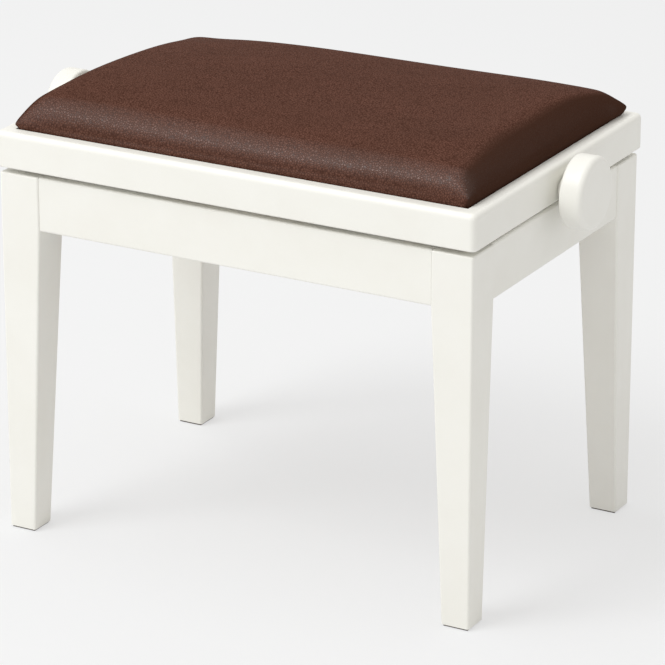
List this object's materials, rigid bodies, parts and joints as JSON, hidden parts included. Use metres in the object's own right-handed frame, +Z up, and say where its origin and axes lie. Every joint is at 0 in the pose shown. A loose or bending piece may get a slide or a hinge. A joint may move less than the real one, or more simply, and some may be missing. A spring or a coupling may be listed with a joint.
{
  "type": "piano stool",
  "caption": "Height-adjustable piano bench: white frame on tapered legs, crowned leatherette cushion in a moulded rim, end knobs driving a screw and scissor lift.",
  "frame": {"origin": "on the floor under the middle of the seat", "axes": "+X along the seat to the right-hand knob, +Y to the back, +Z up"},
  "size_m": [0.628, 0.378, 0.476],
  "materials": {
    "white_paint": "satin white paint on solid wood",
    "leatherette": "brown grained leatherette, semi-matt",
    "foam": "cut upholstery foam",
    "felt": "pressed felt",
    "bare_wood": "bare plywood and beech",
    "zinc_steel": "zinc-plated steel",
    "brass": "machined brass",
    "nylon": "natural nylon"
  },
  "bodies": {
    "base": {"leg_front_left": "white_paint", "leg_front_right": "white_paint", "leg_rear_left": "white_paint", "leg_rear_right": "white_paint", "foot_pad_front_left": "felt", "foot_pad_front_right": "felt", "foot_pad_rear_left": "felt", "foot_pad_rear_right": "felt", "apron_front": "white_paint", "apron_rear": "white_paint", "apron_left": "white_paint", "apron_right": "white_paint", "corner_plate_front_left": "zinc_steel", "corner_plate_front_right": "zinc_steel", "corner_plate_rear_left": "zinc_steel", "corner_plate_rear_right": "zinc_steel", "apron_dowels": "bare_wood", "hanger_bolts": "zinc_steel", "hanger_washers": "zinc_steel", "hanger_nuts": "zinc_steel", "plate_screws": "zinc_steel", "lower_track_front": "zinc_steel", "lower_track_rear": "zinc_steel", "lower_track_screws": "zinc_steel", "lower_pivot_pins": "zinc_steel"},
    "seat": {"seat_rail_front": "white_paint", "seat_rail_rear": "white_paint", "seat_rail_left": "white_paint", "seat_rail_right": "white_paint", "seat_board": "bare_wood", "board_screws": "zinc_steel", "foam_pad": "foam", "leather_cover": "leatherette", "upper_track_front": "zinc_steel", "upper_track_rear": "zinc_steel", "upper_track_screws": "zinc_steel", "upper_pivot_pins": "zinc_steel", "spindle_bush_left": "nylon", "spindle_bush_right": "nylon"},
    "drive_arms": {"drive_arm_front": "zinc_steel", "drive_arm_rear": "zinc_steel", "centre_pins": "zinc_steel", "centre_spacers": "nylon"},
    "follower_arms": {"follower_arm_front": "zinc_steel", "follower_arm_rear": "zinc_steel", "slide_rod": "zinc_steel", "lower_rollers": "nylon"},
    "nut": {"nut_block": "brass", "crossbar_front": "zinc_steel", "crossbar_rear": "zinc_steel", "upper_rollers": "nylon"},
    "spindle": {"spindle": "zinc_steel", "collar_screws": "zinc_steel", "knob_pins": "zinc_steel", "thrust_collar_left": "zinc_steel", "thrust_collar_right": "zinc_steel", "knob_left": "white_paint", "knob_right": "white_paint"}
  },
  "joints": [
    {"name": "seat_lift", "type": "slide", "parent": "base", "child": "seat", "axis": [0, 0, 1], "range_m": [0, 0.09]},
    {"name": "drive_arm_hinge", "type": "hinge", "parent": "base", "child": "drive_arms", "pos_m": [-0.197, 0, 0.344], "axis": [0, -1, 0], "range_deg": [0, 13.48]},
    {"name": "follower_arm_hinge", "type": "hinge", "parent": "drive_arms", "child": "follower_arms", "pos_m": [0.00021, 0, 0.37731], "axis": [0, -1, 0], "range_deg": [-26.94, 0]},
    {"name": "nut_hinge", "type": "hinge", "parent": "drive_arms", "child": "nut", "pos_m": [0.19741, 0, 0.41061], "axis": [0, -1, 0], "range_deg": [-13.48, 0]},
    {"name": "spindle_turn", "type": "hinge", "parent": "seat", "child": "spindle", "pos_m": [0, 0, 0.411], "axis": [1, 0, 0], "range_deg": [0, 2371.33]}
  ],
  "couplings": [
    {"joint": "drive_arm_hinge", "follows": "seat_lift", "rad_per_m": 2.6109},
    {"joint": "follower_arm_hinge", "follows": "seat_lift", "rad_per_m": -5.2219},
    {"joint": "nut_hinge", "follows": "seat_lift", "rad_per_m": -2.6109},
    {"joint": "spindle_turn", "follows": "seat_lift", "rad_per_m": 459.86}
  ]
}
